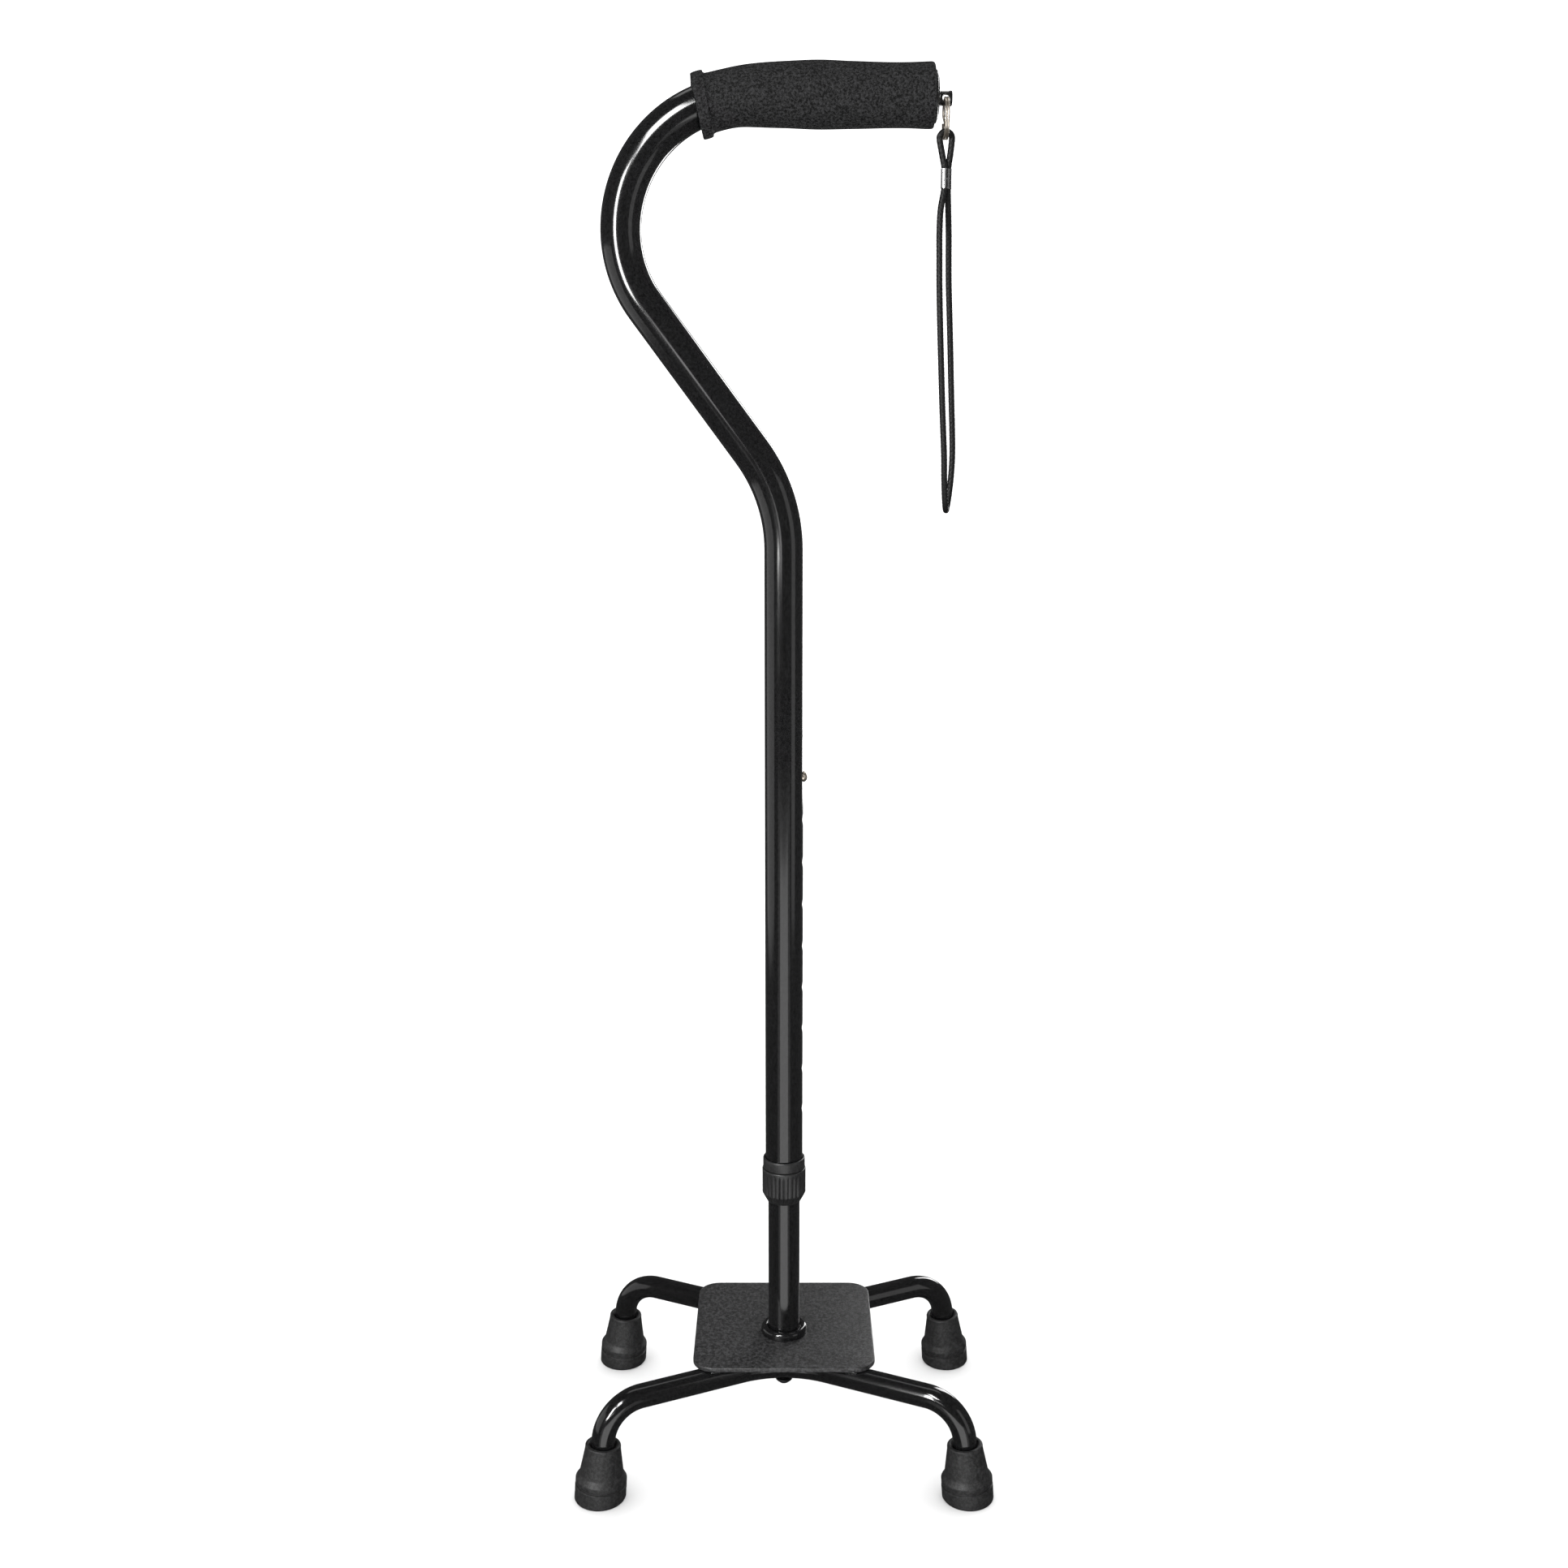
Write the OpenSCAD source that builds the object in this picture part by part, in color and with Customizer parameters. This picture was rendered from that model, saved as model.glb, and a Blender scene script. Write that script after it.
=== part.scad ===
// Quad walking cane: offset handle on a telescoping stem with a four-footed base.
// Origin: on the floor, midway between the four feet. +Z up, the handle bows toward -X.

/* [Handle tube] */
// Outer diameter of the handle tube
handle_od = 22.2; // [22.1:0.1:22.6]
// Bore of the handle tube
handle_id = 19.25; // [19.2:0.05:19.4]
// Height where the lower bend starts
lower_bend_z = 547.9; // [540:0.1:560]
// Centreline radius of the lower bend
lower_bend_r = 91.3; // [80:0.1:100]
// Angle of the slanted stretch from vertical
slant_angle = 36.554; // [32:0.001:40]
// Length of the slanted stretch
slant_length = 96.2; // [90:0.1:105]
// Centreline radius of the bend that brings the tube upright again
upper_bend_r = 66.6; // [60:0.1:80]
// Centreline radius of the bend into the grip
crown_r = 69; // [62:0.5:76]
// Length of the straight stretch under the grip
grip_run = 96; // [85:1:110]
// Number of height holes
hole_count = 10; // [8:1:10]
// Distance between height holes
hole_pitch = 25.4; // [25:0.1:25.8]
// Diameter of a height hole
hole_d = 6.8; // [6.6:0.1:7.4]
// Height of the top hole
top_hole_z = 443.3; // [441:0.1:446]

/* [Grip] */
// Outer diameter of the foam grip
grip_od = 34.6; // [31:0.2:38]
// Outer diameter of the grip's neck, next to its flange
grip_neck_od = 30.6; // [28:0.2:32]
// Diameter of the end plug's cap
plug_cap_d = 27; // [24:0.5:30]
// Diameter of the end plug's post
post_d = 7.4; // [7.2:0.1:9]

/* [Stem] */
// Outer diameter of the stem
stem_od = 19.05; // [19.0:0.01:19.1]
// Bore of the stem
stem_id = 15.85; // [15.4:0.05:16.2]
// Height of the stem's top end
stem_top_z = 452; // [440:1:470]
// How far the stem stands in front of the base's centre
stem_setback = 8; // [7:0.5:9]
// Diameter of the snap button
button_d = 6.3; // [5.8:0.1:6.4]
// How far the button stands out of the handle tube
button_proud = 2.4; // [1.5:0.1:3]

/* [Collar] */
// Outer diameter of the lock nut
nut_od = 26.2; // [25.8:0.1:28]
// Height of the lock nut's top edge
nut_top_z = 177; // [174:0.5:180]
// Length of the lock nut's ribbed barrel
nut_barrel = 15.8; // [13:0.1:18]
// Number of ribs round the lock nut
nut_ribs = 28; // [20:2:32]
// Diameter of the bushing's rim
rim_od = 25.2; // [24.6:0.1:26]

/* [Base plate] */
// Width of the plate, side to side
plate_w = 109; // [104:0.5:114]
// Depth of the plate, front to back
plate_d = 105.8; // [102:0.2:110]
// Thickness of the plate
plate_t = 3; // [2.6:0.1:3.4]
// Height of the plate's top face
plate_top_z = 68.5; // [66:0.5:72]
// Radius of the plate's corners
plate_corner_r = 13; // [8:0.5:18]
// Outer diameter of the ring round the stem's foot
foot_ring_od = 28; // [25:0.5:32]

/* [Legs] */
// Outer diameter of a leg tube
leg_od = 14; // [13:0.2:14.4]
// Bore of a leg tube
leg_id = 11; // [10:0.2:11.6]
// Distance of a foot from the centre line, side to side
foot_x = 108; // [100:0.5:115]
// Distance of a foot from the centre line, front to back
foot_y = 77; // [72:0.5:80]
// Angle that a bow's middle bend turns through
bow_angle = 50.629; // [48:0.001:51.5]
// Radius of a bow's middle bend
bow_r = 60; // [14:1:80]
// Radius of the bend down to a foot
knee_r = 24; // [22:0.5:30]
// Outward lean of a leg's lower end from vertical
leg_splay = 4.437; // [3:0.001:7]

/* [Tips] */
// Outer diameter of a rubber tip at the floor
tip_od = 30.2; // [28:0.2:33]
// Height of a tip
tip_h = 34; // [32:0.5:35]
// Thickness of a tip's floor
tip_floor = 5; // [4:0.5:6]

/* [Wrist strap] */
// Diameter of the strap's cord
cord_d = 3.5; // [3.4:0.1:3.5]
// Mean radius of the split ring
ring_r = 10.1; // [10:0.1:10.2]

/* [Hidden] */
$fn = 64;
past = 1;                                // how far a cutting tool runs past a face

// Places along the handle tube
handle_bottom_z = nut_top_z - 7;         // end of the handle tube, inside the bushing
handle_run = lower_bend_z - handle_bottom_z;
bow_x = -lower_bend_r * (1 - cos(slant_angle)) - slant_length * sin(slant_angle)
    - upper_bend_r * (1 - cos(slant_angle));
grip_z = lower_bend_z + (lower_bend_r + upper_bend_r) * sin(slant_angle)
    + slant_length * cos(slant_angle) + crown_r;
crown_x = bow_x + crown_r;               // where the straight stretch under the grip starts
tube_end_x = crown_x + grip_run;

// Grip and end plug
grip_end_x = tube_end_x + 3.5;
grip_edge_r = 3.5;
neck_arc = 17;                           // degrees of crown that the neck covers
flange_arc = 6;                          // degrees of crown that the flange covers
cap_t = 3;
post_x = grip_end_x + cap_t;
post_length = 6.5;
spool_d = post_d + 0.6;

// Split ring: two turns side by side, hanging through the post
turn_w = 1.3;
turn_t = 1.7;
turn_edge_r = 0.5;
ring_hole_d = 4.6;
ring_x = post_x + 3.4;
post_z = grip_z - 1;
ring_hang = 10;                          // from the post's hole down to the ring's centre
ring_z = post_z - ring_hang;

// Collar
rim_t = 6.8;
thread_d = 24.2;
bushing_bore = stem_od + 0.14;
bushing_length = 14;
nut_bore = thread_d + 0.14;
nut_eye = stem_od + 0.18;                // the nut's lower opening round the stem
nut_taper = 5.2;
nut_taper_d = 20.4;
nut_bottom_z = nut_top_z - nut_barrel - nut_taper;
rib_d = 0.9;

// Snap button and its leaf spring
button_z = top_hole_z - hole_pitch;
button_tip_x = handle_od / 2 + button_proud;
button_back_x = 5.8;
button_flange_t = 0.8;
button_flange_d = 8.4;
leaf_t = 0.5;
leaf_w = 6;
leaf_drop = 34;

// Base
plate_bottom_z = plate_top_z - plate_t;
plate_y = 0.5;                           // the plate's centre, behind the feet's centre
stem_bottom_z = plate_bottom_z - 3;
foot_ring_t = 4.6;
foot_ring_edge_r = 2.2;
bolt_head_d = 10.4;
bolt_head_t = 3.5;
bolt_shank_d = 5;
bolt_depth = 2;                          // how deep the shank goes into the plate

// Legs: each bow lies flat under the plate and turns down at both ends
weld_gap = 0.05;
leg_z = plate_bottom_z - weld_gap - leg_od / 2;
leg_plan = bow_angle / 2;
leg_reach = foot_x / cos(leg_plan);
bow_y = foot_y - foot_x * tan(leg_plan);
knee_angle = 90 - leg_splay;
knee_end_z = leg_z - knee_r * (1 - cos(knee_angle));
knee_t = leg_reach - knee_r * sin(knee_angle) - knee_end_z * tan(leg_splay);
bow_tangent = bow_r * tan(leg_plan);
bow_middle_y = bow_y + bow_r * (1 / cos(leg_plan) - 1);
washer_t = 1.2;
washer_d = 12.6;
leg_end = tip_floor + washer_t;          // from the floor up the leg's axis to the tube's end
leg_shank = knee_end_z / cos(leg_splay) - leg_end;

// Route of the strap's cord. It starts in the ferrule, goes round the split ring,
// back down through the ferrule, round the hanging loop and up into the ferrule again.
cord_route = [
    [86.2, -9.4, 746.5], [86.2, -9.4, 751.5], [84.8, -8.6, 759], [83.4, -8, 766.5],
    [83.8, -8, 768.7], [85, -8, 770], [86.7, -8, 770.5], [88.4, -8, 770], [89.6, -8, 768.7],
    [90, -8, 766.5], [89.3, -7.5, 759], [88.4, -6.6, 751.5], [88.4, -6.6, 741], [89, -5, 730],
    [89.7, -2.2, 718], [90.1, 0, 706], [90.6, 1.8, 692], [91.4, 3, 677], [92.2, 3.8, 661],
    [93.5, 4.1, 630], [94.2, 3.8, 614], [94.5, 3.2, 600], [93.9, 2.2, 588], [92.8, 0.5, 578.3],
    [91.7, -2, 572.3], [90.6, -8, 569.8], [89.6, -14, 572.3], [88.9, -16.5, 578.3],
    [88.3, -18.2, 588], [87.9, -19.2, 600], [87.1, -19.8, 614], [86.2, -20.1, 630],
    [84.8, -19.8, 661], [84.2, -19, 677], [83.8, -17.8, 692], [83.7, -16, 706],
    [83.7, -13.8, 718], [84.3, -11.4, 730], [86.2, -9.4, 741], [86.2, -9.4, 746]
];
cord_sides = 8;
ferrule_centre = [87.3, -8];
ferrule_bottom_z = 741.3;
ferrule_h = 10.2;
ferrule_wall = 0.4;
strand_spacing = 3.56;
strand_turn = 51.8;                      // direction from one strand to the other

// A straight round rod along +Z, with what follows it at its far end
module run(d, length) {
    cylinder(d = d, h = length);
    translate([0, 0, length]) children();
}

// A bend in a round rod from +Z toward -X, or toward +X if the angle is negative. The arc
// is made too long and cut square, so that it meets what follows it on a true plane.
module turn(d, radius, angle) {
    if (angle < 0) {
        rotate([0, 0, 180]) turn(d, radius, -angle) rotate([0, 0, 180]) children();
    } else {
        translate([-radius, 0, 0]) {
            difference() {
                rotate([90, 0, 0]) rotate_extrude(angle = angle + 10) translate([radius, 0]) {
                    circle(d = d);
                }
                rotate([0, -angle, 0]) translate([radius - d, -d, 0]) cube(2 * d);
            }
            rotate([0, -angle, 0]) translate([radius, 0, 0]) children();
        }
    }
}

// A stack of discs along +Z, each row [diameter, start, end]
module stack(rows) {
    for (row = rows) {
        translate([0, 0, row[1]]) cylinder(d = row[0], h = row[2] - row[1]);
    }
}

// Puts a shape on the stem's axis
module on_stem(z = 0) {
    translate([0, -stem_setback, z]) children();
}

// Puts a shape on the grip's axis, its +Z along +X
module on_grip(x, z = grip_z) {
    translate([x, -stem_setback, z]) rotate([0, 90, 0]) children();
}

// The handle's whole run as a rod of one diameter
module handle_rod(d) {
    translate([0, 0, handle_bottom_z]) {
        run(d, handle_run)
        turn(d, lower_bend_r, slant_angle)
        run(d, slant_length)
        turn(d, upper_bend_r, -slant_angle)
        turn(d, crown_r, -90)
        run(d, grip_run);
    }
}

module handle_tube() {
    color("#17181a") on_stem() difference() {
        handle_rod(handle_od);
        handle_rod(handle_id);
        for (i = [0 : hole_count - 1]) {
            translate([handle_od / 4, 0, top_hole_z - i * hole_pitch]) rotate([0, 90, 0]) {
                cylinder(d = hole_d, h = handle_od / 2);
            }
        }
    }
}

// A rod bent round the crown, from one angle to another
module crown_rod(d, from, to) {
    translate([crown_x, -stem_setback, grip_z - crown_r]) rotate([90, 0, 0]) {
        rotate([0, 0, 90 + from]) rotate_extrude(angle = to - from) {
            translate([crown_r, 0]) circle(d = d);
        }
    }
}

module foam_grip() {
    sleeve = grip_end_x - crown_x;
    swell = 14;                          // length over which the sleeve swells from the neck
    color("#26272a") difference() {
        union() {
            crown_rod(grip_neck_od, 0, neck_arc + flange_arc / 2);
            crown_rod(grip_od, neck_arc, neck_arc + flange_arc);
            on_grip(crown_x) rotate_extrude() {
                polygon([
                    [0, 0], [grip_neck_od / 2, 0], [grip_od / 2, swell],
                    [grip_od / 2, sleeve - grip_edge_r], [grip_od / 2 - grip_edge_r, sleeve],
                    [0, sleeve]
                ]);
                translate([grip_od / 2 - grip_edge_r, sleeve - grip_edge_r]) {
                    circle(r = grip_edge_r);
                }
            }
        }
        crown_rod(handle_od, 0, neck_arc + 2 * flange_arc);
        on_grip(crown_x) cylinder(d = handle_od, h = sleeve + past);
    }
}

module end_plug() {
    crown_rise = 2.6;
    crown_d = 15;
    spool_t = 1.5;
    color("#0e0f10") difference() {
        union() {
            on_grip(tube_end_x) stack([
                [handle_id, -16, 0], [handle_od, 0, 3.5],
                [plug_cap_d, 3.5, 3.5 + cap_t - crown_rise]
            ]);
            on_grip(post_x - crown_rise) {
                cylinder(d1 = plug_cap_d, d2 = crown_d, h = crown_rise);
            }
            on_grip(post_x - crown_rise, post_z) {
                cylinder(d = post_d, h = post_length + crown_rise);
            }
            on_grip(post_x + post_length - spool_t, post_z) cylinder(d = spool_d, h = spool_t);
        }
        translate([ring_x, -stem_setback, post_z]) rotate([90, 0, 0]) {
            cylinder(d = ring_hole_d, h = 2 * spool_d, center = true);
        }
    }
}

module split_ring() {
    color("#b9b5ad") translate([ring_x, -stem_setback, ring_z]) rotate([0, 90, 0]) {
        rotate_extrude() difference() {
            translate([ring_r - turn_t / 2, -turn_w]) rounded_box(turn_t, 2 * turn_w, turn_edge_r);
            // the seams between the two turns
            for (side = [-1, 1]) {
                translate([ring_r + side * turn_t / 2, 0]) rotate(45) {
                    square(0.35, center = true);
                }
            }
        }
    }
}

// A flat rectangle with round corners, its first corner at the origin
module rounded_box(w, h, r) {
    translate([r, 0]) square([w - 2 * r, h]);
    translate([0, r]) square([w, h - 2 * r]);
    for (x = [r, w - r]) {
        for (y = [r, h - r]) {
            translate([x, y]) circle(r = r, $fn = 32);
        }
    }
}

// Direction of the route at point i
function along(route, i) =
    let (a = route[max(i - 1, 0)], b = route[min(i + 1, len(route) - 1)])
    (b - a) / norm(b - a);

// A side direction at each point, each turned as little as possible from the one before
function sides_of(route, i = 0, previous = [0, -1, 0]) =
    i == len(route) ? [] :
    let (
        t = along(route, i),
        flat = previous - (previous * t) * t,
        side = flat / norm(flat)
    )
    concat([side], sides_of(route, i + 1, side));

// One ring of tube points at each point of the route
function tube_points(route, r, n) =
    let (sides = sides_of(route))
    [for (i = [0 : len(route) - 1])
        let (u = sides[i], v = cross(along(route, i), u))
        for (k = [0 : n - 1]) route[i] + r * (cos(360 * k / n) * u + sin(360 * k / n) * v)];

// The tube's two ends and its walls
function tube_faces(rings, n) = concat(
    [[for (k = [0 : n - 1]) k]],
    [[for (k = [n - 1 : -1 : 0]) (rings - 1) * n + k]],
    [for (i = [0 : rings - 2]) for (k = [0 : n - 1])
        [i * n + k, (i + 1) * n + k, (i + 1) * n + (k + 1) % n, i * n + (k + 1) % n]]
);

module strap_cord() {
    color("#101112") polyhedron(
        points = tube_points(cord_route, cord_d / 2, cord_sides),
        faces = tube_faces(len(cord_route), cord_sides)
    );
}

// The outline round two strands that lie side by side
module strand_pair(r) {
    for (side = [-1, 1]) {
        translate([side * strand_spacing / 2, 0]) circle(r = r);
    }
    square([strand_spacing, 2 * r], center = true);
}

module strap_ferrule() {
    color("#d4d4d2") {
        translate([ferrule_centre[0], ferrule_centre[1], ferrule_bottom_z]) {
            rotate([0, 0, strand_turn]) linear_extrude(ferrule_h) difference() {
                strand_pair(cord_d / 2 + ferrule_wall);
                strand_pair(cord_d / 2);
            }
        }
    }
}

module tube_bushing() {
    lip_r = 1;
    color("#0c0d0e") on_stem() difference() {
        union() {
            translate([0, 0, nut_top_z]) rotate_extrude() {
                square([rim_od / 2, rim_t - lip_r]);
                square([rim_od / 2 - lip_r, rim_t]);
                translate([rim_od / 2 - lip_r, rim_t - lip_r]) circle(r = lip_r, $fn = 32);
            }
            translate([0, 0, nut_top_z - bushing_length]) {
                cylinder(d = thread_d, h = bushing_length);
            }
        }
        translate([0, 0, handle_bottom_z]) cylinder(d = handle_od, h = 4 * rim_t);
        translate([0, 0, nut_bottom_z]) cylinder(d = bushing_bore, h = 6 * rim_t);
        // four slots let the lower end close on the stem
        for (angle = [45, 135]) {
            rotate([0, 0, angle]) translate([0, 0, nut_top_z - bushing_length]) {
                cube([2 * thread_d, 1.2, 10], center = true);
            }
        }
    }
}

module lock_nut() {
    color("#0b0c0d") on_stem() difference() {
        union() {
            translate([0, 0, nut_bottom_z]) {
                cylinder(d1 = nut_taper_d, d2 = nut_od - 1, h = nut_taper);
            }
            translate([0, 0, nut_bottom_z + nut_taper]) cylinder(d = nut_od, h = nut_barrel);
        }
        translate([0, 0, nut_bottom_z - past]) cylinder(d = nut_eye, h = 2 * nut_barrel);
        translate([0, 0, nut_top_z - bushing_length - 0.6]) {
            cylinder(d = nut_bore, h = 2 * nut_barrel);
        }
        for (i = [0 : nut_ribs - 1]) {
            rotate([0, 0, (i + 0.5) * 360 / nut_ribs]) {
                translate([nut_od / 2, 0, nut_bottom_z + nut_taper + past]) {
                    cylinder(d = rib_d, h = nut_barrel - 2.5);
                }
            }
        }
    }
}

module stem_tube() {
    color("#141517") on_stem() difference() {
        translate([0, 0, stem_bottom_z]) cylinder(d = stem_od, h = stem_top_z - stem_bottom_z);
        translate([0, 0, stem_bottom_z - past]) cylinder(d = stem_id, h = stem_top_z);
        translate([0, 0, button_z]) rotate([0, 90, 0]) cylinder(d = hole_d, h = stem_od);
    }
}

module snap_button() {
    color("#cfd0cf") on_stem(button_z) rotate([0, 90, 0]) {
        translate([0, 0, button_back_x]) {
            cylinder(d = button_flange_d, h = button_flange_t);
            cylinder(d = button_d, h = button_tip_x - button_back_x - button_d / 4);
        }
        // the round head
        intersection() {
            translate([0, 0, button_tip_x - button_d / 2]) sphere(d = button_d);
            translate([0, 0, button_tip_x - button_d / 4]) cylinder(d = button_d, h = button_d);
        }
        translate([0, 0, button_tip_x - button_d / 2]) {
            cylinder(d = button_d, h = button_d / 4);
        }
    }
}

module button_spring() {
    front = button_back_x;
    back = 0.05 - sqrt(pow(stem_id / 2, 2) - pow(leaf_w / 2, 2));
    color("#8d9196") on_stem(button_z) rotate([90, 0, 0]) {
        linear_extrude(leaf_w, center = true) polygon([
            [front, 6], [front, -6], [-1.2, -leaf_drop], [-3, -leaf_drop - 1],
            [-4.4, -leaf_drop], [back, 2], [back + leaf_t, 2], [-3.9, -leaf_drop + 0.4],
            [-3, -leaf_drop - 0.4], [-1.7, -leaf_drop + 0.4], [front - leaf_t, -5.8],
            [front - leaf_t, 6]
        ]);
    }
}

module stem_plug() {
    color("#1b1c1d") on_stem() {
        translate([0, 0, stem_bottom_z - 1.6]) cylinder(d = stem_od, h = 1.6);
        translate([0, 0, stem_bottom_z]) cylinder(d = stem_id, h = 12);
    }
}

module stem_ring() {
    r = foot_ring_edge_r;
    color("#1a1b1d") on_stem(plate_top_z) rotate_extrude() {
        translate([stem_od / 2, 0]) {
            square([(foot_ring_od - stem_od) / 2, foot_ring_t - r]);
            square([(foot_ring_od - stem_od) / 2 - r, foot_ring_t]);
        }
        translate([foot_ring_od / 2 - r, foot_ring_t - r]) circle(r = r, $fn = 32);
    }
}

module base_plate() {
    color("#1c1d1f") difference() {
        translate([-plate_w / 2, plate_y - plate_d / 2, plate_bottom_z]) {
            linear_extrude(plate_t) rounded_box(plate_w, plate_d, plate_corner_r);
        }
        on_stem(plate_bottom_z - past) cylinder(d = stem_od, h = plate_t + 2 * past);
        for (side = [-1, 1]) {
            translate([0, side * bow_middle_y, plate_bottom_z - past]) {
                cylinder(d = bolt_shank_d, h = bolt_depth + past);
            }
        }
    }
}

// The bow of the front legs as a rod: its middle bend and a leg at each end
module bow_rod(d) {
    translate([0, -bow_middle_y - bow_r, 0]) rotate([0, 0, leg_plan]) {
        translate([0, bow_r, 0]) rotate([90, 0, 90]) {
            turn(d, bow_r, bow_angle) leg_rod(d);
            mirror([0, 0, 1]) leg_rod(d);
        }
    }
}

// A leg from the end of a bow's middle bend down to its foot, as a rod
module leg_rod(d) {
    run(d, knee_t - bow_tangent)
    rotate([0, 0, 90])
    turn(d, knee_r, knee_angle)
    run(d, leg_shank);
}

module bow() {
    translate([0, 0, leg_z]) difference() {
        bow_rod(leg_od);
        bow_rod(leg_id);
        translate([0, -bow_middle_y, -leg_od]) cylinder(d = bolt_shank_d, h = 2 * leg_od);
    }
}

module front_leg_tube() {
    color("#141517") bow();
}

module rear_leg_tube() {
    color("#141517") mirror([0, 1, 0]) bow();
}

// Puts a shape on the axis of the foot at the given sides, +Z up the leg
module on_foot(side_x, side_y) {
    lean = atan2(side_y * sin(leg_plan), side_x * cos(leg_plan));
    translate([side_x * foot_x, side_y * foot_y, 0]) {
        rotate([0, 0, lean]) rotate([0, -leg_splay, 0]) children();
    }
}

// Half of a tip's outline: floor band, groove, shoulder, cone and rounded lip
module tip_outline() {
    r = tip_od / 2;
    neck = 10.1;
    lip = 1.2;
    polygon(concat(
        [[0, -4], [r, -4], [r, 9], [r - 0.5, 9.3], [r - 0.5, 9.9], [r - 0.1, 10.2], [r - 0.1, 12.5]],
        [for (a = [15 : 15 : 90]) [r - 0.1 - 2.2 * (1 - cos(a)), 12.5 + 3.5 * sin(a)]],
        [[neck, tip_h - lip]],
        [for (a = [30 : 30 : 90]) [neck - lip * (1 - cos(a)), tip_h - lip + lip * sin(a)]],
        [[0, tip_h]]
    ));
}

module tip(side_x, side_y) {
    color("#161616") difference() {
        intersection() {
            on_foot(side_x, side_y) rotate_extrude() tip_outline();
            translate([side_x * foot_x, side_y * foot_y, tip_h]) {
                cube([2 * tip_od, 2 * tip_od, 2 * tip_h], center = true);
            }
        }
        on_foot(side_x, side_y) translate([0, 0, tip_floor]) cylinder(d = leg_od, h = 2 * tip_h);
    }
}

module tip_front_left() { tip(-1, -1); }

module tip_front_right() { tip(1, -1); }

module tip_rear_left() { tip(-1, 1); }

module tip_rear_right() { tip(1, 1); }

module tip_washers() {
    color("#a7abad") for (x = [-1, 1]) {
        for (y = [-1, 1]) {
            on_foot(x, y) translate([0, 0, tip_floor]) cylinder(d = washer_d, h = washer_t);
        }
    }
}

module leg_bolts() {
    head_z = leg_z - leg_od / 2 - bolt_head_t;
    color("#2a2b2d") for (side = [-1, 1]) {
        translate([0, side * bow_middle_y, head_z]) {
            cylinder(d1 = bolt_head_d - 3, d2 = bolt_head_d, h = 1.4);
            translate([0, 0, 1.4]) cylinder(d = bolt_head_d, h = bolt_head_t - 1.4);
            cylinder(d = bolt_shank_d, h = plate_bottom_z + bolt_depth - head_z);
        }
    }
}

handle_tube();
foam_grip();
end_plug();
split_ring();
strap_cord();
strap_ferrule();
tube_bushing();
lock_nut();
stem_tube();
snap_button();
button_spring();
stem_plug();
stem_ring();
base_plate();
front_leg_tube();
rear_leg_tube();
tip_front_left();
tip_front_right();
tip_rear_left();
tip_rear_right();
tip_washers();
leg_bolts();
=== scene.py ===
import math

import bmesh
import bpy
from mathutils import Matrix, Vector


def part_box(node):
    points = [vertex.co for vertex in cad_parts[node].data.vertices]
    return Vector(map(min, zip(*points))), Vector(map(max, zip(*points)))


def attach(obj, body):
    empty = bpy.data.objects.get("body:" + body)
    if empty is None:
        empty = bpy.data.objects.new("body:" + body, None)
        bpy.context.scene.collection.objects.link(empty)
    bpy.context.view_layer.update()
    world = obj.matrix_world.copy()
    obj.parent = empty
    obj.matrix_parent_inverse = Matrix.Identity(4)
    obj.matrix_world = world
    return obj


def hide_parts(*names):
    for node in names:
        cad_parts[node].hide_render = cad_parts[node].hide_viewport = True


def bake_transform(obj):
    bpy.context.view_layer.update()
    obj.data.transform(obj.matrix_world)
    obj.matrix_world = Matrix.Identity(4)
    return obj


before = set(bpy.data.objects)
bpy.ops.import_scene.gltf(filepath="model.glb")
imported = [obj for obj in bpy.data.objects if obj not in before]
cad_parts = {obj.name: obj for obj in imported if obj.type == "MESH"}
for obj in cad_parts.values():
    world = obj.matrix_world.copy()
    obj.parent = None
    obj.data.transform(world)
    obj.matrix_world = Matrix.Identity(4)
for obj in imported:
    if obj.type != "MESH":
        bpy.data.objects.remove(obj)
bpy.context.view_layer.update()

MM = 0.001

# Driving dimensions, in millimetres and degrees, as in the part's design.
# The handle tube rises from the collar, leans back, and turns over the crown into the grip.
HANDLE_OD = 22.2
HANDLE_ID = 19.25
LOWER_BEND_Z = 547.9
LOWER_BEND_R = 91.3
SLANT_ANGLE = 36.554
SLANT_LENGTH = 96.2
UPPER_BEND_R = 66.6
CROWN_R = 69
GRIP_RUN = 96

# Height holes, the stem inside them, and the button in the second hole from the top
HOLE_COUNT = 10
HOLE_PITCH = 25.4
HOLE_D = 6.8
TOP_HOLE_Z = 443.3
STEM_OD = 19.05
STEM_ID = 15.85
STEM_TOP_Z = 452
BUTTON_D = 6.3
BUTTON_Z = TOP_HOLE_Z - HOLE_PITCH

# Two bows of tube make the four legs
LEG_OD = 14
LEG_ID = 11
FOOT_X = 108
FOOT_Y = 77
BOW_ANGLE = 50.629
BOW_R = 60
KNEE_R = 24
LEG_SPLAY = 4.437
LEG_START = 6.2

# Rubber tips and wrist cord
TIP_R = 15.1
TIP_H = 34
CORD_D = 3.5

# Radii of the grip's end cap, the button's flange, the bolt's head and a wire of the ring
CAP_R = 13.5
FLANGE_R = 4.1
BOLT_HEAD_R = 5.1
RING_WIRE_R = 0.85

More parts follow.
